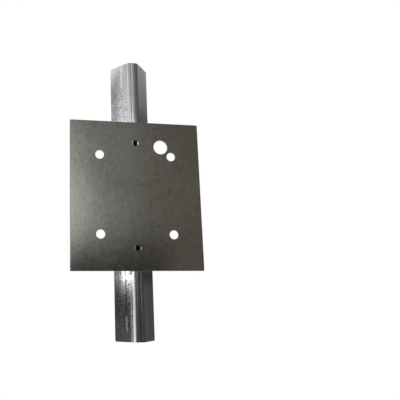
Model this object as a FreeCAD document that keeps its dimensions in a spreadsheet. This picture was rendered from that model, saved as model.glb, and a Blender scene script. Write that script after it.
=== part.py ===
import FreeCAD, Part
import math
import os
import Sketcher

# Pole mount adapter: a flat plate for a device, screwed to a folded rail that straddles a pole.
# Frame in millimetres: X to the right, Y from the front of the plate towards the pole, Z up.
# The origin is on the front face of the plate, at the middle of the four device holes.

SIZES = (
    ("plate_width", 150.0, "mounting plate, side to side"),
    ("plate_height", 170.0, "mounting plate, top to bottom"),
    ("plate_thickness", 2.5, "mounting plate"),
    ("plate_corner_radius", 1.2, "corners of the plate, seen from the front"),
    ("plate_edge_break", 0.3, "chamfer round the outline of the plate, front and back"),
    ("device_hole_diameter", 10.0, "four clearance holes for the device's bolts"),
    ("device_hole_pitch_across", 83.0, "between the left and the right device holes"),
    ("device_hole_pitch_upright", 90.0, "between the upper and the lower device holes"),
    ("cable_hole_diameter", 16.2, "hole for a cable gland"),
    ("cable_hole_across", 29.5, "centre of the cable hole, right of the origin"),
    ("cable_hole_upright", 56.0, "centre of the cable hole, above the origin"),
    ("fastener_margin", 25.0, "screws, from the upper and the lower edge of the plate"),
    ("fastener_hole_diameter", 3.4, "clearance hole for a screw, in plate and rail"),
    ("rail_overhang", 75.0, "rail past the upper and the lower edge of the plate"),
    ("rail_depth", 22.5, "rail, from its nose to its rear edges"),
    ("rail_sheet", 1.5, "thickness of the folded sheet"),
    ("nose_flat_width", 4.8, "flat strip of the nose between its two bends, outside"),
    ("nose_bend_angle", 50.0, "turn of each bend beside the nose, degrees"),
    ("nose_bend_radius", 4.0, "inside radius of the bends beside the nose"),
    ("crease_depth", 9.5, "from the nose to where the faint crease of each wall starts"),
    ("crease_angle", 4.0, "turn of each faint crease, degrees"),
    ("crease_radius", 2.0, "inside radius of each faint crease"),
    ("rail_corner_radius", 2.0, "rear corners of the rail, at both ends"),
    ("screw_diameter", 3.0, "thread of the screws, over its crests"),
    ("screw_length", 8.0, "screws, over all"),
    ("screw_tip_chamfer", 0.3, "end of the thread"),
    ("head_diameter", 5.5, "countersunk heads"),
    ("head_angle", 90.0, "cone of the heads and of their seats, degrees"),
    ("head_land", 0.2, "straight rim of the heads"),
    ("head_sink", 0.9, "heads lie this far under the face of the plate"),
    ("recess_span", 3.0, "cross recess, tip to tip at the face of the head"),
    ("recess_wing", 0.85, "cross recess, width of a wing at the face of the head"),
    ("recess_depth", 1.5, "cross recess"),
    ("recess_taper", 0.45, "width and span at the floor of the recess, against the face"),
    ("nut_across_flats", 5.5, "hexagon nuts"),
    ("nut_height", 2.4, "hexagon nuts"),
    ("nut_face_diameter", 4.7, "round bearing face inside the chamfered corners"),
    ("nut_chamfer_angle", 30.0, "chamfer of the nut's corners, degrees"),
    ("thread_clearance", 0.05, "between the screw's crests and the bore of the nut, all round"),
)

doc = FreeCAD.newDocument("pole_mount_adapter")
sheet = doc.addObject("Spreadsheet::Sheet", "sizes")
for row, (alias, value, meaning) in enumerate(SIZES, start=1):
    sheet.set(f"A{row}", meaning)
    sheet.set(f"B{row}", str(value))
    sheet.setAlias(f"B{row}", alias)
doc.recompute()


def size(alias):
    """A driving dimension as a plain number, for the first guess of a sketch."""
    return float(sheet.get(alias))


def sub_part(name):
    """A body whose label names the piece and its file."""
    body = doc.addObject("PartDesign::Body", name)
    body.Label = name
    return body


def origin_feature(body, role):
    """An origin plane of a body, found by its role."""
    return next(feature for feature in body.Origin.OriginFeatures if feature.Role == role)


def sketch_on(body, role, name):
    """An empty sketch on one of the body's own origin planes."""
    sketch = body.newObject("Sketcher::SketchObject", name)
    sketch.AttachmentSupport = [(origin_feature(body, role), "")]
    sketch.MapMode = "FlatFace"
    return sketch


def fix(sketch, kind, *places):
    """A constraint without a number."""
    return sketch.addConstraint(Sketcher.Constraint(kind, *places))


def dimension(sketch, kind, places, formula):
    """A constraint whose number follows a formula on the sheet."""
    answer = sketch.evalExpression(formula)
    number = float(getattr(answer, "Value", answer))
    if kind == "Angle":
        number = math.radians(number)
    index = sketch.addConstraint(Sketcher.Constraint(kind, *places, number))
    sketch.setExpression(f"Constraints[{index}]", formula)
    return index


def chain(sketch, points):
    """A closed run of straight lines through points given as (x, y)."""
    first = sketch.GeometryCount
    count = len(points)
    corners = [FreeCAD.Vector(x, y, 0) for x, y in points]
    for i in range(count):
        sketch.addGeometry(Part.LineSegment(corners[i], corners[(i + 1) % count]), False)
    for i in range(count):
        fix(sketch, "Coincident", first + i, 2, first + (i + 1) % count, 1)
    return first


def centred_rectangle(sketch, width, height):
    """A rectangle about the sketch's origin, from two formulas."""
    x = float(sketch.evalExpression(width)) / 2
    y = float(sketch.evalExpression(height)) / 2
    first = chain(sketch, [(-x, -y), (x, -y), (x, y), (-x, y)])
    for i in (0, 2):
        fix(sketch, "Horizontal", first + i)
        fix(sketch, "Vertical", first + i + 1)
    fix(sketch, "Symmetric", first, 1, first + 1, 2, -1, 1)
    dimension(sketch, "DistanceX", (first, 1, first, 2), width)
    dimension(sketch, "DistanceY", (first + 1, 1, first + 1, 2), height)


def circle_at(sketch, x, y, diameter):
    """A circle whose centre and diameter follow three formulas. Its centre may lie on an axis."""
    place = FreeCAD.Vector(*(float(sketch.evalExpression(formula)) for formula in (x, y)), 0)
    radius = float(sketch.evalExpression(diameter)) / 2
    ring = sketch.addGeometry(Part.Circle(place, FreeCAD.Vector(0, 0, 1), radius), False)
    for kind, formula, distance in (("DistanceX", x, place.x), ("DistanceY", y, place.y)):
        if formula == "0":
            fix(sketch, "PointOnObject", ring, 3, -2 if kind == "DistanceX" else -1)
        elif distance > 0:
            dimension(sketch, kind, (-1, 1, ring, 3), formula)
        else:
            dimension(sketch, kind, (ring, 3, -1, 1), f"-({formula})")
    dimension(sketch, "Diameter", (ring,), diameter)
    return ring


def feature(body, kind, name, profile=None):
    """A feature of a body, with its sketch where it has one."""
    made = body.newObject(kind, name)
    if profile is not None:
        made.Profile = profile
        profile.Visibility = False
    body.Tip = made
    return made


def padded(body, name, sketch, length, towards_pole=True):
    """A pad whose length follows a formula. Sketches on XZ planes look forwards, so it is reversed."""
    pad = feature(body, "PartDesign::Pad", name, sketch)
    pad.Reversed = towards_pole
    pad.setExpression("Length", length)
    return pad


def cut_through(body, name, sketch):
    """A pocket through everything, both ways from its sketch."""
    pocket = feature(body, "PartDesign::Pocket", name, sketch)
    pocket.SideType = "Symmetric"
    pocket.Type = "ThroughAll"
    return pocket


def turned(body, kind, name, sketch):
    """A revolution or groove, all round the upright axis of its sketch."""
    made = feature(body, kind, name, sketch)
    made.ReferenceAxis = (sketch, ["V_Axis"])
    made.Angle = 360.0
    return made


def edge_names(shape, test):
    """The names of the edges that pass a test."""
    return [f"Edge{number}" for number, edge in enumerate(shape.Edges, 1) if test(edge)]


def on_plane(edge, axis, place):
    """Whether both ends of an edge, and its middle, lie at one place along an axis."""
    points = [vertex.Point for vertex in edge.Vertexes] + [edge.CenterOfMass]
    return all(abs(getattr(point, axis) - place) < 1e-6 for point in points)


# Mounting plate: laser-cut flat steel. The outline is broken by a small chamfer, four holes take the
# device's bolts, one takes a cable gland, and two countersunk holes take the screws to the rail.
plate = sub_part("mounting_plate")
outline = sketch_on(plate, "XZ_Plane", "plate_outline")
centred_rectangle(outline, "sizes.plate_width", "sizes.plate_height")
blank = padded(plate, "plate_blank", outline, "sizes.plate_thickness")
doc.recompute()

rounding = feature(plate, "PartDesign::Fillet", "plate_corners")
rounding.Base = (blank, edge_names(blank.Shape, lambda edge: not on_plane(edge, "y", edge.Vertexes[0].Y)))
rounding.setExpression("Radius", "sizes.plate_corner_radius")
doc.recompute()

edge_break = feature(plate, "PartDesign::Chamfer", "plate_edge_break")
faces_of_plate = (0.0, size("plate_thickness"))
edge_break.Base = (
    rounding,
    edge_names(rounding.Shape, lambda edge: any(on_plane(edge, "y", face) for face in faces_of_plate)),
)
edge_break.setExpression("Size", "sizes.plate_edge_break")

device_holes = sketch_on(plate, "XZ_Plane", "device_hole_centres")
for across in ("-", ""):
    for upright in ("-", ""):
        circle_at(
            device_holes,
            f"{across}sizes.device_hole_pitch_across / 2",
            f"{upright}sizes.device_hole_pitch_upright / 2",
            "sizes.device_hole_diameter",
        )
cut_through(plate, "device_holes", device_holes)

cable_hole = sketch_on(plate, "XZ_Plane", "cable_hole_centre")
circle_at(cable_hole, "sizes.cable_hole_across", "sizes.cable_hole_upright", "sizes.cable_hole_diameter")
cut_through(plate, "cable_hole", cable_hole)


# The upper fasteners lie this far above the origin, the lower ones as far below it.
FASTENER_HEIGHT = "sizes.plate_height / 2 - sizes.fastener_margin"


def fastener_circles(body, name):
    """The two clearance holes on the upright centre line, the same in the plate and in the rail."""
    sketch = sketch_on(body, "XZ_Plane", name)
    for upright in ("-", ""):
        circle_at(sketch, "0", f"{upright}({FASTENER_HEIGHT})", "sizes.fastener_hole_diameter")
    return sketch


countersinks = feature(
    plate, "PartDesign::Hole", "countersunk_holes", fastener_circles(plate, "countersink_centres")
)
doc.recompute()
countersinks.ThreadType = "None"
countersinks.DepthType = "ThroughAll"
countersinks.HoleCutType = "Countersink"
countersinks.HoleCutCustomValues = True
countersinks.setExpression("Diameter", "sizes.fastener_hole_diameter")
countersinks.setExpression("HoleCutDiameter", "sizes.head_diameter + 2 * (sizes.head_land + sizes.head_sink)")
countersinks.setExpression("HoleCutCountersinkAngle", "sizes.head_angle")


# Pole rail: one strip of galvanised sheet, folded twice beside a narrow flat nose and once more, very
# slightly, halfway down each wall. Its cut edges are square to the walls and bear on the pole.
# Half of the section is drawn and padded, then mirrored, and the four rear corners are rounded.
rail = sub_part("pole_rail")
rail.setExpression(".Placement.Base.y", "sizes.plate_thickness")
section = sketch_on(rail, "XY_Plane", "rail_half_section")


def turn(angle, length):
    """A vector of a length, at an angle in degrees from the X axis."""
    return FreeCAD.Vector(math.cos(math.radians(angle)), math.sin(math.radians(angle)), 0) * length


thickness = size("rail_sheet")
wall_angle = size("nose_bend_angle")
edge_angle = wall_angle + size("crease_angle")
nose_centre = FreeCAD.Vector(size("nose_flat_width") / 2, thickness + size("nose_bend_radius"), 0)


def bend_points(centre, radius, start, end):
    """Where a bend of a radius about a centre starts and ends, for walls at two angles."""
    return centre + turn(start - 90, radius), centre + turn(end - 90, radius)


def bend(centre, radius, start, end):
    """An arc that joins two walls at two angles."""
    ring = Part.Circle(centre, FreeCAD.Vector(0, 0, 1), radius)
    return Part.ArcOfCircle(ring, math.radians(start - 90), math.radians(end - 90))


inner_nose, inner_crease = size("nose_bend_radius"), size("crease_radius")
outer_nose, outer_crease = inner_nose + thickness, inner_crease + thickness
nose_out = bend_points(nose_centre, outer_nose, 0, wall_angle)
wall_length = (size("crease_depth") - nose_out[1].y) / math.sin(math.radians(wall_angle))
crease_start = nose_out[1] + turn(wall_angle, wall_length)
crease_centre = crease_start + turn(wall_angle + 90, outer_crease)
crease_out = bend_points(crease_centre, outer_crease, wall_angle, edge_angle)
edge_length = (size("rail_depth") - crease_out[1].y) / math.sin(math.radians(edge_angle))
rear_out = crease_out[1] + turn(edge_angle, edge_length)
rear_in = rear_out + turn(edge_angle + 90, thickness)
nose_in = bend_points(nose_centre, inner_nose, 0, wall_angle)
crease_in = bend_points(crease_centre, inner_crease, wall_angle, edge_angle)
middle_out, middle_in = FreeCAD.Vector(0, 0, 0), FreeCAD.Vector(0, thickness, 0)

NOSE, NOSE_BEND, WALL, CREASE, SKIRT, CUT_EDGE = range(6)
SKIRT_IN, CREASE_IN, WALL_IN, NOSE_BEND_IN, NOSE_IN, MIDDLE = range(6, 12)
section.addGeometry(
    [
        Part.LineSegment(middle_out, nose_out[0]),
        bend(nose_centre, outer_nose, 0, wall_angle),
        Part.LineSegment(nose_out[1], crease_out[0]),
        bend(crease_centre, outer_crease, wall_angle, edge_angle),
        Part.LineSegment(crease_out[1], rear_out),
        Part.LineSegment(rear_out, rear_in),
        Part.LineSegment(rear_in, crease_in[1]),
        bend(crease_centre, inner_crease, wall_angle, edge_angle),
        Part.LineSegment(crease_in[0], nose_in[1]),
        bend(nose_centre, inner_nose, 0, wall_angle),
        Part.LineSegment(nose_in[0], middle_in),
        Part.LineSegment(middle_in, middle_out),
    ],
    False,
)
for one, one_end, other, other_end in (
    (NOSE, 2, NOSE_BEND, 1),
    (NOSE_BEND, 2, WALL, 1),
    (WALL, 2, CREASE, 1),
    (CREASE, 2, SKIRT, 1),
    (SKIRT_IN, 2, CREASE_IN, 2),
    (CREASE_IN, 1, WALL_IN, 1),
    (WALL_IN, 2, NOSE_BEND_IN, 2),
    (NOSE_BEND_IN, 1, NOSE_IN, 1),
):
    fix(section, "Tangent", one, one_end, other, other_end)
for one, other in ((SKIRT, CUT_EDGE), (CUT_EDGE, SKIRT_IN), (NOSE_IN, MIDDLE), (MIDDLE, NOSE)):
    fix(section, "Coincident", one, 2, other, 1)
fix(section, "Coincident", NOSE, 1, -1, 1)
fix(section, "Coincident", NOSE_BEND, 3, NOSE_BEND_IN, 3)
fix(section, "Coincident", CREASE, 3, CREASE_IN, 3)
fix(section, "Horizontal", NOSE)
fix(section, "Horizontal", NOSE_IN)
fix(section, "Vertical", MIDDLE)
fix(section, "Perpendicular", SKIRT, CUT_EDGE)
fix(section, "Parallel", SKIRT, SKIRT_IN)
fix(section, "Parallel", WALL, WALL_IN)
dimension(section, "DistanceY", (MIDDLE, 2, MIDDLE, 1), "sizes.rail_sheet")
dimension(section, "DistanceX", (NOSE, 1, NOSE, 2), "sizes.nose_flat_width / 2")
dimension(section, "Radius", (NOSE_BEND_IN,), "sizes.nose_bend_radius")
dimension(section, "Radius", (CREASE_IN,), "sizes.crease_radius")
dimension(section, "Angle", (NOSE, WALL), "sizes.nose_bend_angle")
dimension(section, "Angle", (WALL, SKIRT), "sizes.crease_angle")
dimension(section, "DistanceY", (-1, 1, WALL, 2), "sizes.crease_depth")
dimension(section, "DistanceY", (-1, 1, SKIRT, 2), "sizes.rail_depth")

rail_length = "sizes.plate_height + 2 * sizes.rail_overhang"
half_rail = padded(rail, "half_rail", section, rail_length, towards_pole=False)
half_rail.SideType = "Symmetric"
doc.recompute()
whole_rail = rail.newObject("PartDesign::Mirrored", "whole_rail")
whole_rail.Originals = [half_rail]
whole_rail.MirrorPlane = (origin_feature(rail, "YZ_Plane"), [""])
rail.Tip = whole_rail
doc.recompute()


def at_rear_corner(edge):
    """Whether an edge runs through the sheet at one of the rear corners of the rail."""
    return on_plane(edge, "z", edge.Vertexes[0].Z) and edge.CenterOfMass.y > size("rail_depth")


rail_corners = feature(rail, "PartDesign::Fillet", "rail_corners")
rail_corners.Base = (whole_rail, edge_names(whole_rail.Shape, at_rear_corner))
rail_corners.setExpression("Radius", "sizes.rail_corner_radius")
cut_through(rail, "rail_fastener_holes", fastener_circles(rail, "rail_fastener_centres"))


def make_screw(name, side):
    """Countersunk screw: turned head and shank, and a tapered cross recess. side is + or - along Z."""
    screw = sub_part(name)
    screw.setExpression(".Placement.Base.y", "sizes.head_sink")
    screw.setExpression(".Placement.Base.z", f"{side}({FASTENER_HEIGHT})")
    head, shank = size("head_diameter") / 2, size("screw_diameter") / 2
    land, length, tip = size("head_land"), size("screw_length"), size("screw_tip_chamfer")
    seat = land + (head - shank) / math.tan(math.radians(size("head_angle") / 2))
    profile = sketch_on(screw, "XY_Plane", name + "_profile")
    face = chain(
        profile,
        [(0, 0), (head, 0), (head, land), (shank, seat), (shank, length - tip), (shank - tip, length), (0, length)],
    )
    rim, cone, side_of_shank, tip_cone, end, axis = range(face + 1, face + 7)
    fix(profile, "Coincident", face, 1, -1, 1)
    for level in (face, end):
        fix(profile, "Horizontal", level)
    for upright in (rim, side_of_shank, axis):
        fix(profile, "Vertical", upright)
    dimension(profile, "DistanceX", (face, 1, face, 2), "sizes.head_diameter / 2")
    dimension(profile, "DistanceY", (rim, 1, rim, 2), "sizes.head_land")
    dimension(profile, "DistanceX", (-1, 1, cone, 2), "sizes.screw_diameter / 2")
    dimension(
        profile,
        "DistanceY",
        (cone, 1, cone, 2),
        "(sizes.head_diameter - sizes.screw_diameter) / 2 / tan(sizes.head_angle / 2 * 1 deg)",
    )
    dimension(profile, "DistanceY", (-1, 1, end, 2), "sizes.screw_length")
    dimension(profile, "DistanceY", (tip_cone, 1, tip_cone, 2), "sizes.screw_tip_chamfer")
    dimension(profile, "DistanceX", (tip_cone, 2, tip_cone, 1), "sizes.screw_tip_chamfer")
    turned(screw, "PartDesign::Revolution", name + "_blank", profile)

    wing_faces = []
    for level, share, depth in (("top", "1", "0"), ("floor", "sizes.recess_taper", "sizes.recess_depth")):
        wing = sketch_on(screw, "XZ_Plane", f"{name}_wing_{level}")
        wing.setExpression("AttachmentOffset.Base.z", f"-({depth})")
        centred_rectangle(wing, f"sizes.recess_wing * {share}", f"sizes.recess_span * {share}")
        wing_faces.append(wing)
    wing_pair = feature(screw, "PartDesign::SubtractiveLoft", name + "_wing_pair", wing_faces[0])
    wing_pair.Sections = [wing_faces[1]]
    wing_pair.Ruled = True
    doc.recompute()
    recess = screw.newObject("PartDesign::PolarPattern", name + "_cross")
    recess.Originals = [wing_pair]
    recess.Axis = (origin_feature(screw, "Y_Axis"), [""])
    recess.Angle = 90.0
    recess.Occurrences = 2
    screw.Tip = recess
    return screw


def make_nut(name, side):
    """Hexagon nut on the inner face of the nose, with two of its flats towards the walls."""
    nut = sub_part(name)
    nut.setExpression(".Placement.Base.y", "sizes.plate_thickness + sizes.rail_sheet")
    nut.setExpression(".Placement.Base.z", f"{side}({FASTENER_HEIGHT})")
    corner = size("nut_across_flats") / math.sqrt(3)
    hexagon = sketch_on(nut, "XZ_Plane", name + "_hexagon")
    corners = [turn(60 * i - 30, corner) for i in range(6)]
    first = chain(hexagon, [(point.x, point.y) for point in corners])
    ring = hexagon.addGeometry(Part.Circle(FreeCAD.Vector(0, 0, 0), FreeCAD.Vector(0, 0, 1), corner), True)
    fix(hexagon, "Coincident", ring, 3, -1, 1)
    for i in range(6):
        fix(hexagon, "PointOnObject", first + i, 1, ring)
    for i in range(1, 6):
        fix(hexagon, "Equal", first, first + i)
    fix(hexagon, "Vertical", first)
    dimension(hexagon, "Diameter", (ring,), "sizes.nut_across_flats * 2 / sqrt(3)")
    padded(nut, name + "_blank", hexagon, "sizes.nut_height")

    face, height = size("nut_face_diameter") / 2, size("nut_height")
    rise = (corner - face) * math.tan(math.radians(size("nut_chamfer_angle")))
    rise_formula = (
        "(sizes.nut_across_flats / sqrt(3) - sizes.nut_face_diameter / 2)"
        " * tan(sizes.nut_chamfer_angle * 1 deg)"
    )
    trim = sketch_on(nut, "XY_Plane", name + "_corner_trim")
    for level, sign in ((0.0, 1), (height, -1)):
        inner = chain(trim, [(face, level), (corner, level), (corner, level + sign * rise)])
        fix(trim, "Horizontal", inner)
        fix(trim, "Vertical", inner + 1)
        dimension(trim, "DistanceX", (-1, 1, inner, 1), "sizes.nut_face_diameter / 2")
        dimension(trim, "DistanceX", (-1, 1, inner, 2), "sizes.nut_across_flats / sqrt(3)")
        rising = (inner + 1, 1, inner + 1, 2) if sign > 0 else (inner + 1, 2, inner + 1, 1)
        dimension(trim, "DistanceY", rising, rise_formula)
        if level:
            dimension(trim, "DistanceY", (-1, 1, inner, 1), "sizes.nut_height")
        else:
            fix(trim, "PointOnObject", inner, 1, -1)
    turned(nut, "PartDesign::Groove", name + "_corners", trim)

    bore = sketch_on(nut, "XZ_Plane", name + "_bore_centre")
    circle_at(bore, "0", "0", "sizes.screw_diameter + 2 * sizes.thread_clearance")
    cut_through(nut, name + "_bore", bore)
    return nut


# Fasteners: an upper and a lower screw through plate and nose, each with a nut inside the rail.
pieces = [plate, rail]
for place, side in (("top", ""), ("bottom", "-")):
    pieces.append(make_screw(place + "_screw", side))
    pieces.append(make_nut(place + "_nut", side))
doc.recompute()

# Nothing is written unless every object is sound, every sketch is fully held and every cut removes metal.
CUTS = ("PartDesign::Pocket", "PartDesign::Hole", "PartDesign::Groove", "PartDesign::SubtractiveLoft")
for thing in doc.Objects:
    if "Invalid" in thing.State or "Error" in thing.State:
        raise RuntimeError(f"{thing.Name} failed: {thing.State}")
    if thing.TypeId == "Sketcher::SketchObject" and not thing.FullyConstrained:
        raise RuntimeError(f"{thing.Name} is not fully constrained")
    if thing.TypeId in CUTS and not thing.Shape.Volume < thing.BaseFeature.Shape.Volume - 1e-6:
        raise RuntimeError(f"{thing.Name} removes nothing")
for body in pieces:
    if body.Shape.isNull() or not body.Shape.isValid() or len(body.Shape.Solids) != 1:
        raise RuntimeError(f"{body.Label} is not one sound solid")

os.makedirs("parts", exist_ok=True)
for body in pieces:
    body.Shape.exportStep(f"parts/{body.Label}.step")
    box = body.Shape.BoundBox
    print(
        f"{body.Label}: {body.Shape.Volume:.1f} mm3,"
        f" X {box.XMin:.2f} to {box.XMax:.2f}, Y {box.YMin:.2f} to {box.YMax:.2f},"
        f" Z {box.ZMin:.2f} to {box.ZMax:.2f}"
    )
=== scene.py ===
import math

import bmesh
import bpy
from mathutils import Matrix, Vector


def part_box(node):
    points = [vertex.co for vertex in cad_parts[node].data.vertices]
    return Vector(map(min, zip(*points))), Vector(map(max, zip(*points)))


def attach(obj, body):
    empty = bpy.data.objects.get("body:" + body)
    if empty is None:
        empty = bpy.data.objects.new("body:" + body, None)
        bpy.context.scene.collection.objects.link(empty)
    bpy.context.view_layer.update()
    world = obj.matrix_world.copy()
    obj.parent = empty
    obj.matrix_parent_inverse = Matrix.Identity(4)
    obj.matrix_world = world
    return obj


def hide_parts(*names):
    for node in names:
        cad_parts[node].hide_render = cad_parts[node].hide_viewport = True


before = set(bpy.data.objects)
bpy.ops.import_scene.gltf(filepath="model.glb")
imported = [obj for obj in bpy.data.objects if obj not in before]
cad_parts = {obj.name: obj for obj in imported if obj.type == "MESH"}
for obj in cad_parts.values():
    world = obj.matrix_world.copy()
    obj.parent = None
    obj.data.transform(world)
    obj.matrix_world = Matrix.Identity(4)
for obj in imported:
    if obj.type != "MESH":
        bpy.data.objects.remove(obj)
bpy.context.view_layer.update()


# Mounting plate: a flat rectangle of rolled steel, laser cut, with holes for a device and for its cable.
# It has a dull dark oxide skin with soft clouds of tone. Its holes are bare bright metal, and its outer
# edges are duller. The seats of the two screws carry painted shade, dark except on their left and right
# sides, which stay bare metal so they glint, and the lower screw's bare sides are partly shaded too.
class Wire:
    """One socket of a node tree. Sums on it add Math nodes, and node() adds any other node."""

    RAW_NOISE = (0.28, 0.72)

    def __init__(self, tree, socket=None):
        self.tree = tree
        self.socket = socket

    def node(self, kind, settings=None, values=None, output=None):
        """A node of a type, with its settings made first and then its sockets' values or links."""
        made = self.tree.nodes.new("ShaderNode" + kind)
        for name, setting in (settings or {}).items():
            setattr(made, name, setting)
        for name, value in (values or {}).items():
            if isinstance(name, int):
                place = made.inputs[name]
            else:
                place = next(socket for socket in made.inputs if socket.enabled and socket.name == name)
            if isinstance(value, Wire):
                self.tree.links.new(value.socket, place)
            else:
                place.default_value = value
        found = [socket for socket in made.outputs if socket.enabled and output in (None, socket.name)]
        return Wire(self.tree, found[0])

    def maths(self, operation, *others):
        """A Math node, with this as its first term."""
        return self.node("Math", {"operation": operation}, dict(enumerate((self, *others))))

    def __add__(self, other):
        return self.maths("ADD", other)

    __radd__ = __add__

    def __sub__(self, other):
        return self.maths("SUBTRACT", other)

    def __rsub__(self, other):
        return self * -1 + other

    def __mul__(self, other):
        return self.maths("MULTIPLY", other)

    __rmul__ = __mul__

    def __truediv__(self, other):
        return self.maths("DIVIDE", other)

    def __pow__(self, other):
        return self.maths("POWER", other)

    def __abs__(self):
        return self.maths("ABSOLUTE")

    def step(self, low, high):
        """A soft step from 0 at low to 1 at high, or down where low is the larger."""
        return self.node(
            "MapRange",
            {"interpolation_type": "SMOOTHSTEP"},
            {"Value": self, "From Min": low, "From Max": high},
        )

    def between(self, first, second):
        """A colour mixed from two, with this as the share of the second."""
        return self.node("Mix", {"data_type": "RGBA"}, {"Factor": self, "A": first, "B": second})

    def parts(self):
        """The three numbers of a vector."""
        return [self.node("SeparateXYZ", values={"Vector": self}, output=axis) for axis in "XYZ"]

    def noise(self, grain, detail=2.0, roughness=0.5):
        """Soft noise from 0 to 1 on this place, with grains of a size in metres."""
        values = {"Vector": self, "Scale": 1 / grain, "Detail": detail, "Roughness": roughness}
        return self.node("TexNoise", values=values, output="Fac").step(*self.RAW_NOISE)


def new_finish(name):
    """An empty metal, with its shader, the place on the piece and the direction that the skin faces."""
    finish = bpy.data.materials.new(name)
    finish.use_nodes = True
    tree = finish.node_tree
    shader = tree.nodes["Principled BSDF"]
    start = Wire(tree)
    place = start.node("TexCoord", output="Object")
    facing = start.node("TexCoord", output="Normal")
    return finish, shader, place, facing


def feed(shader, name, wire):
    """Links a wire to a socket of the shader."""
    wire.tree.links.new(wire.socket, shader.inputs[name])


def relief(height):
    """A normal from a height in metres."""
    return height.node("Bump", values={"Strength": 1.0, "Distance": 1.0, "Height": height})


def tinted(wire, colour):
    """A colour scaled by a number."""
    grey = wire.node("CombineColor", values={0: wire, 1: wire, 2: wire})
    settings = {"data_type": "RGBA", "blend_type": "MULTIPLY"}
    return wire.node("Mix", settings, {"Factor": 1.0, "A": colour, "B": grey})


PLATE_WARM = (0.187, 0.178, 0.161, 1)
PLATE_COOL = (0.190, 0.195, 0.170, 1)
PLATE_BARE = (0.78, 0.77, 0.75, 1)
PLATE_CUT = (0.16, 0.155, 0.148, 1)
SEAT_PAINTED_SHADE = (0.03, 0.03, 0.03, 1)
CLOUD_SIZE = 0.045
BLOT_SIZE = 0.007
FLECK_SIZE = 0.0045
SPECK_SIZE = 0.0022
WARM_REACH = 0.08
SEAT_REACH = 0.005
SOFT_EDGE = 0.001
BLOT_RELIEF = 0.00001
SPECK_RELIEF = 0.000004


def oxide_steel():
    """Clouds of warm and cool grey with a fine mottle, bare metal in the holes, duller outer edges, painted
    shade in the screw seats.
    """
    finish, shader, place, facing = new_finish("plate_steel")
    across, _, upright = place.parts()
    sideways, towards_pole, _ = facing.parts()
    clouds = place.noise(CLOUD_SIZE, 3.0, 0.55)
    blots = place.noise(BLOT_SIZE, 3.0, 0.6)
    specks = place.noise(SPECK_SIZE, 3.0, 0.7)
    towards_ends = abs(upright).step(0.035, 0.075)
    warmth = (across / WARM_REACH + 0.15 + 0.9 * (clouds - 0.5) + 0.35 * towards_ends).step(0.0, 1.0)
    flecks = place.noise(FLECK_SIZE, 1.0, 0.5).step(0.72, 0.9) * (0.09 + 0.06 * across.step(-0.01, 0.03))
    tone = 1 + 0.16 * (clouds - 0.5) + 0.12 * (blots - 0.5) + 0.22 * (specks - 0.5) - flecks
    skin = tinted(tone, warmth.between(PLATE_COOL, PLATE_WARM))

    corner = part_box("mounting_plate")[1]
    side = abs(towards_pole).step(0.95, 0.85)
    outer_side = abs(across).step(corner.x - 2 * SOFT_EDGE, corner.x - SOFT_EDGE)
    outer_end = abs(upright).step(corner.z - 2 * SOFT_EDGE, corner.z - SOFT_EDGE)
    seat = side * abs(across).step(SEAT_REACH + SOFT_EDGE, SEAT_REACH)
    # Painted shade: the screw seats go near black, except on their left- and right-facing sides, which stay
    # bare metal to glint; on the lower screw those sides are partly shaded as well.
    bright = sideways.step(0.42, 0.58) + sideways.step(-0.58, -0.66)
    painted_shade = seat * (1 - bright * (1 - 0.45 * upright.step(0.01, -0.01)))
    # duller holds the outer edges and also the painted shade of the seats.
    duller = outer_side.maths("MAXIMUM", outer_end).maths("MAXIMUM", painted_shade)
    cut = painted_shade.between(duller.between(PLATE_BARE, PLATE_CUT), SEAT_PAINTED_SHADE)

    feed(shader, "Base Color", side.between(skin, cut))
    feed(shader, "Roughness", 0.16 + 0.04 * (clouds - 0.5) + 0.04 * (blots - 0.5) + 0.18 * seat)
    feed(shader, "Metallic", 0.98 - 0.62 * seat)
    feed(shader, "Normal", relief(BLOT_RELIEF * blots + SPECK_RELIEF * specks))
    return finish


def dress(node, finish):
    """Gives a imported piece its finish."""
    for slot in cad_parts[node].material_slots:
        slot.material = finish


dress("mounting_plate", oxide_steel())


# Pole rail: one strip of galvanised sheet, sheared and folded along its length into an open channel.
# The grain of its zinc is coarser on the left outer face than elsewhere, and its sheared ends are bare
# and duller. Along the crease of the left outer face runs a painted highlight near both ends, and painted
# shade along its lower middle.
ZINC = (0.50, 0.50, 0.495, 1)
ZINC_SHEARED = (0.2, 0.2, 0.195, 1)
CRYSTAL_SIZE = 0.004
GRAIN_SIZE = 0.0011
STREAK_SIZE = 0.0009
ZINC_CLOUD_SIZE = 0.02
DRAWN_LENGTHWISE = (1, 1, 0.012)
GRAIN_RELIEF = 0.00001
STREAK_RELIEF = 0.000005
CROWN_MIDDLE = 0.00185
CROWN_CURVE = 23.6
BEND_END = 0.0066
SHOULDER_RELIEF = 0.00022
CREASE = 0.0123
RIDGE_RELIEF = 0.00006
BOW_MIDDLE = 0.0175
BOW_HALF_WIDTH = 0.005
BOW_RELIEF = 0.0003
BOW_AT_CREASE = 0.81


def folded_relief(across, upright, lower_ridge):
    """Heights that rolling and folding leave: a crowned nose, soft shoulders, a ridge and bowed skirts."""
    from_middle = abs(across)
    crown = -CROWN_CURVE * (across - CROWN_MIDDLE) ** 2 * from_middle.step(0.0031, 0.0024)
    below_plate = upright.step(-0.094, -0.087) * upright.step(0, -0.01)
    shoulder = SHOULDER_RELIEF * from_middle.step(BEND_END - 0.0006, BEND_END + 0.003)
    shoulder = shoulder * (1 - 0.8 * below_plate)
    ridge = RIDGE_RELIEF * lower_ridge * abs(from_middle - CREASE).step(0.0006, 0.0)
    off_bow = (from_middle - BOW_MIDDLE) / BOW_HALF_WIDTH
    bow = BOW_RELIEF * (BOW_AT_CREASE - off_bow ** 2) * from_middle.step(CREASE + 0.0005, CREASE + 0.0009)
    return crown + shoulder + ridge + bow


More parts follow.
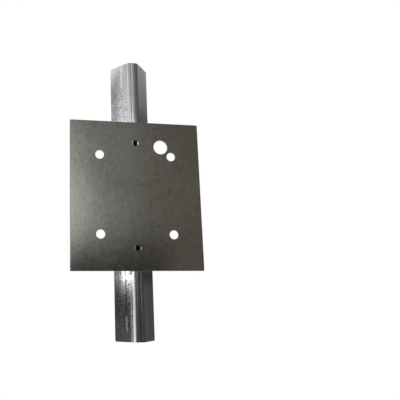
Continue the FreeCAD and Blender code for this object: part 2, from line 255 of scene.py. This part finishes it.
def spangled_zinc():
    """Bright zinc with a fine grain that sparkles, faint larger crystals, lengthwise streaks, the heights
    left by the folding, and a painted highlight and painted shade along the crease.
    """
    finish, shader, place, facing = new_finish("galvanised_sheet")
    across, _, upright = place.parts()
    sideways, _, upwards = facing.parts()
    from_middle = abs(across)
    crystals = place.node("TexVoronoi", values={"Vector": place, "Scale": 1 / CRYSTAL_SIZE}, output="Color")
    crystal, _, _ = crystals.parts()
    grain = place.noise(GRAIN_SIZE, 2.0, 0.6)
    clouds = place.noise(ZINC_CLOUD_SIZE, 2.0, 0.5)
    drawn = place.node("VectorMath", {"operation": "MULTIPLY"}, {0: place, 1: DRAWN_LENGTHWISE})
    streaks = drawn.noise(STREAK_SIZE, 2.0, 0.6)

    nose = from_middle.step(0.009, 0.006)
    left_outside = across.step(-0.005, -0.008) * sideways.step(0, -0.2)
    coarse = left_outside * (1 - 0.6 * upright.step(0.115, 0.140))
    tone = 1 + 0.06 * (crystal - 0.5) + 0.12 * (clouds - 0.5) + (0.08 + 1.2 * coarse) * (grain - 0.5)
    tone = tone + (0.08 + 0.3 * nose) * (streaks - 0.5)

    # Painted highlight on the crease near both ends of the rail, and painted shade on it along the lower
    # middle. The lower highlight band also places a small ridge in the relief.
    crease = left_outside * abs(from_middle - CREASE).step(0.0009, 0.0003)
    upper_crease_highlight = upright.step(0.129, 0.134)
    lower_crease_highlight_and_ridge = upright.step(-0.131, -0.135) * upright.step(-0.152, -0.146)
    painted_shade = upright.step(-0.131, -0.127) * upright.step(-0.05, -0.08)
    tone = tone * (1 + crease * (0.42 * upper_crease_highlight + 0.4 * lower_crease_highlight_and_ridge - 0.6 * painted_shade))
    sheared = abs(upwards).step(0.7, 0.9)

    height = GRAIN_RELIEF * coarse * grain + STREAK_RELIEF * streaks
    feed(shader, "Base Color", sheared.between(tinted(tone, ZINC), ZINC_SHEARED))
    feed(shader, "Roughness", 0.10 + 0.03 * (crystal - 0.5) + 0.2 * sheared)
    feed(shader, "Normal", relief(height + folded_relief(across, upright, lower_crease_highlight_and_ridge)))
    shader.inputs["Metallic"].default_value = 1.0
    return finish


dress("pole_rail", spangled_zinc())


# Two countersunk screws: cold-headed and thread-rolled steel, blackened, with a cross recess.
# They pass through the plate and the nose of the rail, with their heads well down in the seats.
SCREW_BLACK = (0.003, 0.003, 0.003, 1)
SCREW_WORN = (0.010, 0.010, 0.010, 1)
WEAR_SIZE = 0.0012
SCREW_GRAIN_SIZE = 0.0004
FINE_RELIEF = 0.00001
THREAD_RADIUS = 0.0015
THREAD_PITCH = 0.0005
THREAD_DEPTH = 0.00031
THREAD_CHAMFER = 0.0003
THREAD_STEPS = 36
MERGE_DISTANCE = 0.000002
LEVEL_TOLERANCE = 1e-7


def black_screw():
    """Black oxide with a fine grain, a little worn in places."""
    finish, shader, place, _ = new_finish("screw_black")
    wear = place.noise(WEAR_SIZE, 3.0, 0.6)
    grain = place.noise(SCREW_GRAIN_SIZE, 2.0, 0.6)
    feed(shader, "Base Color", wear.step(0.5, 0.75).between(SCREW_BLACK, SCREW_WORN))
    feed(shader, "Roughness", 0.55 + 0.2 * (grain - 0.5))
    feed(shader, "Normal", relief(FINE_RELIEF * grain))
    shader.inputs["Metallic"].default_value = 1.0
    return finish


def cut_square(mesh, level, direction):
    """Cuts off what lies past a level along the screw, towards the tip or the head, and closes the cut."""
    bmesh.ops.bisect_plane(
        mesh,
        geom=mesh.verts[:] + mesh.edges[:] + mesh.faces[:],
        plane_co=(0, level, 0),
        plane_no=(0, direction, 0),
        clear_outer=True,
    )
    rim = [
        edge
        for edge in mesh.edges
        if edge.is_boundary and all(abs(vert.co.y - level) < LEVEL_TOLERANCE for vert in edge.verts)
    ]
    bmesh.ops.holes_fill(mesh, edges=rim)


def thread_shell(axis_height, neck, tip):
    """A closed, right-handed threaded shank along +Y, cut square at neck and at tip."""
    shell = bmesh.new()
    start = neck - 1.5 * THREAD_PITCH
    turns = math.ceil((tip - start) / THREAD_PITCH) + 1
    profile = (
        (THREAD_RADIUS, 0),
        (THREAD_RADIUS, 1 / 8),
        (THREAD_RADIUS - THREAD_DEPTH, 7 / 16),
        (THREAD_RADIUS - THREAD_DEPTH, 11 / 16),
        (THREAD_RADIUS, 1),
    )
    corners = [shell.verts.new((r, start + share * THREAD_PITCH, axis_height)) for r, share in profile]
    edges = [shell.edges.new(pair) for pair in zip(corners, corners[1:])]
    bmesh.ops.spin(
        shell,
        geom=corners + edges,
        cent=(0, 0, axis_height),
        axis=(0, 1, 0),
        dvec=(0, THREAD_PITCH / THREAD_STEPS, 0),
        angle=2 * math.pi * turns,
        steps=THREAD_STEPS * turns,
        use_merge=False,
    )
    bmesh.ops.remove_doubles(shell, verts=shell.verts, dist=MERGE_DISTANCE)
    cut_square(shell, neck, -1)
    cut_square(shell, tip, 1)
    for vert in shell.verts:
        allowed = THREAD_RADIUS - max(0, vert.co.y - (tip - THREAD_CHAMFER))
        reach = math.hypot(vert.co.x, vert.co.z - axis_height)
        if reach > allowed:
            vert.co.x *= allowed / reach
            vert.co.z = axis_height + (vert.co.z - axis_height) * allowed / reach
    bmesh.ops.recalc_face_normals(shell, faces=shell.faces)
    return shell


def screw_head(name, neck):
    """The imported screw's head, with its plain shank cut off at the neck."""
    head = bmesh.new()
    head.from_mesh(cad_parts[name].data)
    bmesh.ops.remove_doubles(head, verts=head.verts, dist=MERGE_DISTANCE)
    cut_square(head, neck, 1)
    return head


def as_mesh(name, made):
    """A mesh from a bmesh, which is freed."""
    data = bpy.data.meshes.new(name)
    made.to_mesh(data)
    made.free()
    return data


def new_object(name, made, finish):
    """An object at the origin from a bmesh, with its finish."""
    thing = bpy.data.objects.new(name, as_mesh(name, made))
    bpy.context.scene.collection.objects.link(thing)
    thing.data.materials.append(finish)
    return thing


screw_black = black_screw()
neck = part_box("mounting_plate")[1].y
for name in ("top_screw", "bottom_screw"):
    low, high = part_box(name)
    threaded = screw_head(name, neck)
    shank = as_mesh(name + "_thread", thread_shell((low.z + high.z) / 2, neck, high.y))
    threaded.from_mesh(shank)
    bpy.data.meshes.remove(shank)
    screw = new_object(name + "_threaded", threaded, screw_black)
    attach(screw, "root")
    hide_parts(name)


# Two hexagon nuts inside the nose of the rail, pressed steel, zinc plated. The walls of the rail
# keep them from turning while the screws are driven.
NUT_ZINC = (0.5, 0.5, 0.49, 1)
NUT_DULL = (0.3, 0.3, 0.3, 1)
NUT_GRAIN_SIZE = 0.0007


def plated_nut():
    """Zinc with a fine grain that mixes in a duller tone."""
    finish, shader, place, _ = new_finish("nut_zinc")
    grain = place.noise(NUT_GRAIN_SIZE, 2.0, 0.6)
    shine = 0.85 + 0.3 * (grain - 0.5)
    feed(shader, "Base Color", shine.between(NUT_DULL, NUT_ZINC))
    feed(shader, "Roughness", 0.32 + 0.2 * (grain - 0.5))
    feed(shader, "Normal", relief(FINE_RELIEF * grain))
    shader.inputs["Metallic"].default_value = 1.0
    return finish


nut_zinc = plated_nut()
for name in ("top_nut", "bottom_nut"):
    dress(name, nut_zinc)


# Studio: a pale round floor below the bracket, white all round, a soft lamp high in front and a small one
# at the right. A glowing ring of cloth, out of the camera's sight, stands round the bracket for the metal
# to mirror, bright at the left and dim at the right.
FLOOR_HEIGHT = -0.40
FLOOR_RADIUS = 2.5
FLOOR_CORNERS = 128
SHADOW_REACH = 0.25
WHITE_FROM = 0.8
FLOOR_CARD = (0.82, 0.82, 0.81, 1)
WHITE = (1, 1, 1, 1)


def plain_finish(name):
    """An empty finish without a shader, and a wire to start its nodes from."""
    finish = bpy.data.materials.new(name)
    finish.use_nodes = True
    tree = finish.node_tree
    tree.nodes.remove(tree.nodes["Principled BSDF"])
    return finish, Wire(tree)


def cover(finish, wire):
    """Makes a wire the surface of a finish."""
    surface = finish.node_tree.nodes["Material Output"].inputs["Surface"]
    finish.node_tree.links.new(wire.socket, surface)


def seen_as_white(start):
    """1 where the camera sees a thing, straight or in metal or glass, and 0 where it only gives light."""
    seen = start.node("LightPath", output="Is Camera Ray")
    for kind in ("Is Glossy Ray", "Is Transmission Ray"):
        seen = seen.maths("MAXIMUM", start.node("LightPath", output=kind))
    return seen


def pale_floor():
    """White card that takes the shadow near its middle and runs out into the white around it."""
    finish, start = plain_finish("pale_floor")
    across, deep, _ = start.node("TexCoord", output="Object").parts()
    from_middle = (across ** 2 + deep ** 2) ** 0.5
    card = start.node("BsdfDiffuse", values={"Color": FLOOR_CARD})
    glow = start.node("Emission", values={"Color": WHITE, "Strength": 1.0})
    share = seen_as_white(start) * from_middle.step(SHADOW_REACH, WHITE_FROM)
    cover(finish, start.node("MixShader", values={"Fac": share, 1: card, 2: glow}))
    return finish


def studio_piece(name, made, finish):
    """A piece of the studio, which is no part of the bracket."""
    piece = new_object(name, made, finish)
    return piece


floor_mesh = bmesh.new()
bmesh.ops.create_circle(floor_mesh, cap_ends=True, segments=FLOOR_CORNERS, radius=FLOOR_RADIUS)
bmesh.ops.translate(floor_mesh, verts=floor_mesh.verts, vec=(0, 0, FLOOR_HEIGHT))
studio_piece("floor", floor_mesh, pale_floor())


RING_RADIUS = 1.05
RING_FOOT = -0.38
RING_TOP = 0.80
RING_START = -125
RING_END = 150
RING_STEPS = 40
RING_PEAK = 3.0
CORNER_SLOPE = 0.0039
CORNER_LIGHT = 1.35
RING_CLOTH = (0.025, 0.025, 0.025, 1)
RING_PLAIN = (1.0, 0.985, 1.0, 1)
RING_WARM = (1.0, 0.93, 0.85, 1)
RING_VIOLET = (0.9, 0.85, 1.0, 1)
RING_LOW = (
    (-82, 1.3), (-66, 1.5), (-50, 1.6), (-40, 1.35), (-28, 0.6), (-16, 0.24), (-6, 0.10), (0, 0.07),
    (6, 0.055), (12.7, 0.035), (16, 0.045), (22, 0.09), (40, 0.09), (55, 0.06), (78, 0.065), (112, 0.112),
    (121, 0.085),
)
RING_MIDDLE = (
    (-70, 2.0), (-30, 2.2), (-12, 2.6), (-2, 3.0), (3.2, 2.1), (4.8, 1.5), (7.2, 0.85), (9.3, 0.68),
    (11.6, 0.6), (15.4, 0.475), (18, 0.41), (20.8, 0.40), (24, 0.41), (34, 0.2), (60, 0.06), (110, 0.06),
)
RING_HIGH = (
    (-82, 1.05), (-73, 1.15), (-62, 1.05), (-52, 0.75), (-40, 0.6), (-28, 0.6), (-18, 0.7), (-10, 0.8),
    (-2, 0.78), (4, 0.56), (7.5, 0.45), (10.5, 0.35), (14, 0.28), (17, 0.22), (28, 0.18), (40, 0.16),
    (73, 0.15), (90, 0.2), (112, 0.28),
)


def mixed(share, first, second):
    """A number between two others."""
    return first + (second - first) * share


def graded(turn, stops):
    """The light at a turn, from a list of turns and levels."""
    span = RING_END - RING_START
    share = (turn - RING_START) / span
    ramp = share.node("ValToRGB", values={"Fac": share})
    elements = ramp.socket.node.color_ramp.elements
    for angle, level in stops:
        grey = level / RING_PEAK
        elements.new((angle - RING_START) / span).color = (grey, grey, grey, 1)
    elements.remove(elements[0])
    elements.remove(elements[len(elements) - 1])
    return ramp * RING_PEAK


def past_left(turn):
    """A soft step from 0 at the left to 1 a little behind it."""
    return turn.step(-86, -99)


def left_foot(turn, height):
    """A soft step to 1 at the foot of the ring's left, where it goes dark."""
    return mixed(past_left(turn), height.step(-0.015, -0.070), height.step(-0.02, -0.10))


def left_glow(turn, height):
    """The light that the rail's left wall and skirt mirror: a bright band low down, and a dark foot."""
    band = height.step(0.13, 0.06) * turn.step(-98, -85)
    level = 0.95 + 3.0 * band + 0.5 * height.step(0.56, 0.44) - 0.1 * height.step(0.58, 0.66)
    level = level * (1 - (0.45 + 0.28 * height.step(0.2, 0.0)) * past_left(turn))
    dark = 0.06 + 0.06 * height.step(-0.13, -0.2)
    top_corner = (height - CORNER_SLOPE * turn).step(1.00, 1.03) * turn.step(-82, -88)
    return mixed(top_corner, mixed(left_foot(turn, height), level, dark), CORNER_LIGHT)


def low_glow(turn, height):
    """The light below the bracket's middle, in front and at the right, for the lower rail."""
    level = graded(turn, RING_LOW) * (1 - 0.6 * turn.step(70, 95) * height.step(-0.08, -0.03))
    level = level + 0.11 * height.step(-0.10, -0.05) * turn.step(5, -3)
    dip = height.step(-0.15, -0.12) * height.step(-0.06, -0.085)
    return level * (1 + turn.step(-35, -50) * (0.6 * height.step(-0.06, -0.03) - 0.35 * dip))


def middle_glow(turn, height):
    """The light at the plate's height, which the plate mirrors, brightest at its left edge."""
    level = graded(turn, RING_MIDDLE) * (1 - 0.45 * height.step(0.2, 0.42) * turn.step(14, 8))
    lift = 0.2 * height.step(0.24, 0.34) + 0.3 * height.step(0.36, 0.42)
    lift = lift * turn.step(7, 10) * turn.step(16.5, 12.5)
    return level * (1 + lift + 0.2 * height.step(0.42, 0.455))


def front_glow(turn, height):
    """The light in front and at the right, from low to high."""
    open_foot = turn.step(16, 22) * turn.step(30, 25) * height.step(-0.2, -0.05)
    above_foot = height.step(0.012, 0.125).maths("MAXIMUM", open_foot)
    lower = mixed(above_foot, low_glow(turn, height), middle_glow(turn, height))
    sharp = turn.step(-8, 2) * turn.step(60, 40)
    above_plate = mixed(sharp, height.step(0.425, 0.57), height.step(0.457, 0.49))
    level = mixed(above_plate, lower, graded(turn, RING_HIGH))
    return level + 0.2 * turn.step(80, 110) * height.step(0.5, 0.75)


def ring_glow(across, deep, height):
    """The ring's colour and strength, by its height and by degrees to the right of straight in front."""
    turn = across.maths("ARCTAN2", 0 - deep) * (180 / math.pi)
    warm = turn.step(9, 19) * (1 - turn.step(60, 90) * (0.5 + 0.3 * height.step(0.3, 0.4)))
    violet = (0.25 + 0.5 * left_foot(turn, height)) * turn.step(-60, -75)
    colour = violet.between(warm.between(RING_PLAIN, RING_WARM), RING_VIOLET)
    return colour, mixed(turn.step(-73, -84), front_glow(turn, height), left_glow(turn, height))


def glowing_cloth():
    """Dark cloth that glows by its place on the ring."""
    finish, start = plain_finish("light_ring")
    colour, strength = ring_glow(*start.node("TexCoord", output="Object").parts())
    light = start.node("Emission", values={"Color": colour, "Strength": strength})
    cloth = start.node("BsdfDiffuse", values={"Color": RING_CLOTH})
    cover(finish, start.node("AddShader", values={0: light, 1: cloth}))
    return finish


def arc(radius, first, last, steps):
    """Points on a circle about the bracket, by the turn in degrees to the right of straight in front."""
    turns = [math.radians(first + (last - first) * i / steps) for i in range(steps + 1)]
    return [(radius * math.sin(turn), -radius * math.cos(turn)) for turn in turns]


ring_mesh = bmesh.new()
ring_plan = arc(RING_RADIUS, RING_START, RING_END, RING_STEPS)
ring_verts = [ring_mesh.verts.new((x, y, RING_FOOT)) for x, y in ring_plan]
ring_edges = [ring_mesh.edges.new(pair) for pair in zip(ring_verts, ring_verts[1:])]
raised = bmesh.ops.extrude_edge_only(ring_mesh, edges=ring_edges)["geom"]
upper_verts = [part for part in raised if isinstance(part, bmesh.types.BMVert)]
bmesh.ops.translate(ring_mesh, verts=upper_verts, vec=(0, 0, RING_TOP - RING_FOOT))
ring = studio_piece("light_ring", ring_mesh, glowing_cloth())
ring.visible_camera = False


LAMP_WATTS = 5.0
HIGH_PLACE = (-0.5, -0.6, 1.1)
HIGH_SIZE = 0.9
RIGHT_PLACE = (0.75, -0.55, 0.25)
RIGHT_SIZE = 0.3


def soft_lamp(name, place, size):
    """A square soft box, turned to the bracket and out of the camera's sight."""
    lamp = bpy.data.lights.new(name, "AREA")
    lamp.shape = "SQUARE"
    lamp.size = size
    lamp.energy = LAMP_WATTS
    stand = bpy.data.objects.new(name, lamp)
    stand.location = place
    stand.rotation_euler = (-Vector(place)).to_track_quat("-Z", "Y").to_euler()
    stand.visible_camera = False
    bpy.context.scene.collection.objects.link(stand)
    return stand


soft_lamp("high_softbox", HIGH_PLACE, HIGH_SIZE)
right_softbox = soft_lamp("right_softbox", RIGHT_PLACE, RIGHT_SIZE)
right_softbox.visible_glossy = False

ROOM_LIGHT = 0.55
world = bpy.data.worlds.new("white_room")
world.use_nodes = True
bpy.context.scene.world = world
room = Wire(world.node_tree)
background = world.node_tree.nodes["Background"]
background.inputs["Color"].default_value = WHITE
feed(background, "Strength", ROOM_LIGHT + (1 - ROOM_LIGHT) * seen_as_white(room))

CAMERA_PLACE = (-0.1375, -0.5422, -0.1210)
CAMERA_AIM = (-0.04175, 0.0, -0.00732)
CAMERA_ROLL = -0.74
CAMERA_LENS = 45.95
CAMERA_SENSOR = 36.0
CAMERA_SHIFT = 0.25
camera = bpy.data.cameras.new("camera")
camera.lens = CAMERA_LENS
camera.sensor_width = CAMERA_SENSOR
camera.shift_x = CAMERA_SHIFT
tripod = bpy.data.objects.new("camera", camera)
tripod.location = CAMERA_PLACE
aimed = (Vector(CAMERA_AIM) - Vector(CAMERA_PLACE)).to_track_quat("-Z", "Y").to_matrix()
tripod.rotation_euler = (aimed @ Matrix.Rotation(math.radians(CAMERA_ROLL), 3, "Z")).to_euler()
bpy.context.scene.collection.objects.link(tripod)
bpy.context.scene.camera = tripod
bpy.context.scene.view_settings.view_transform = "Standard"
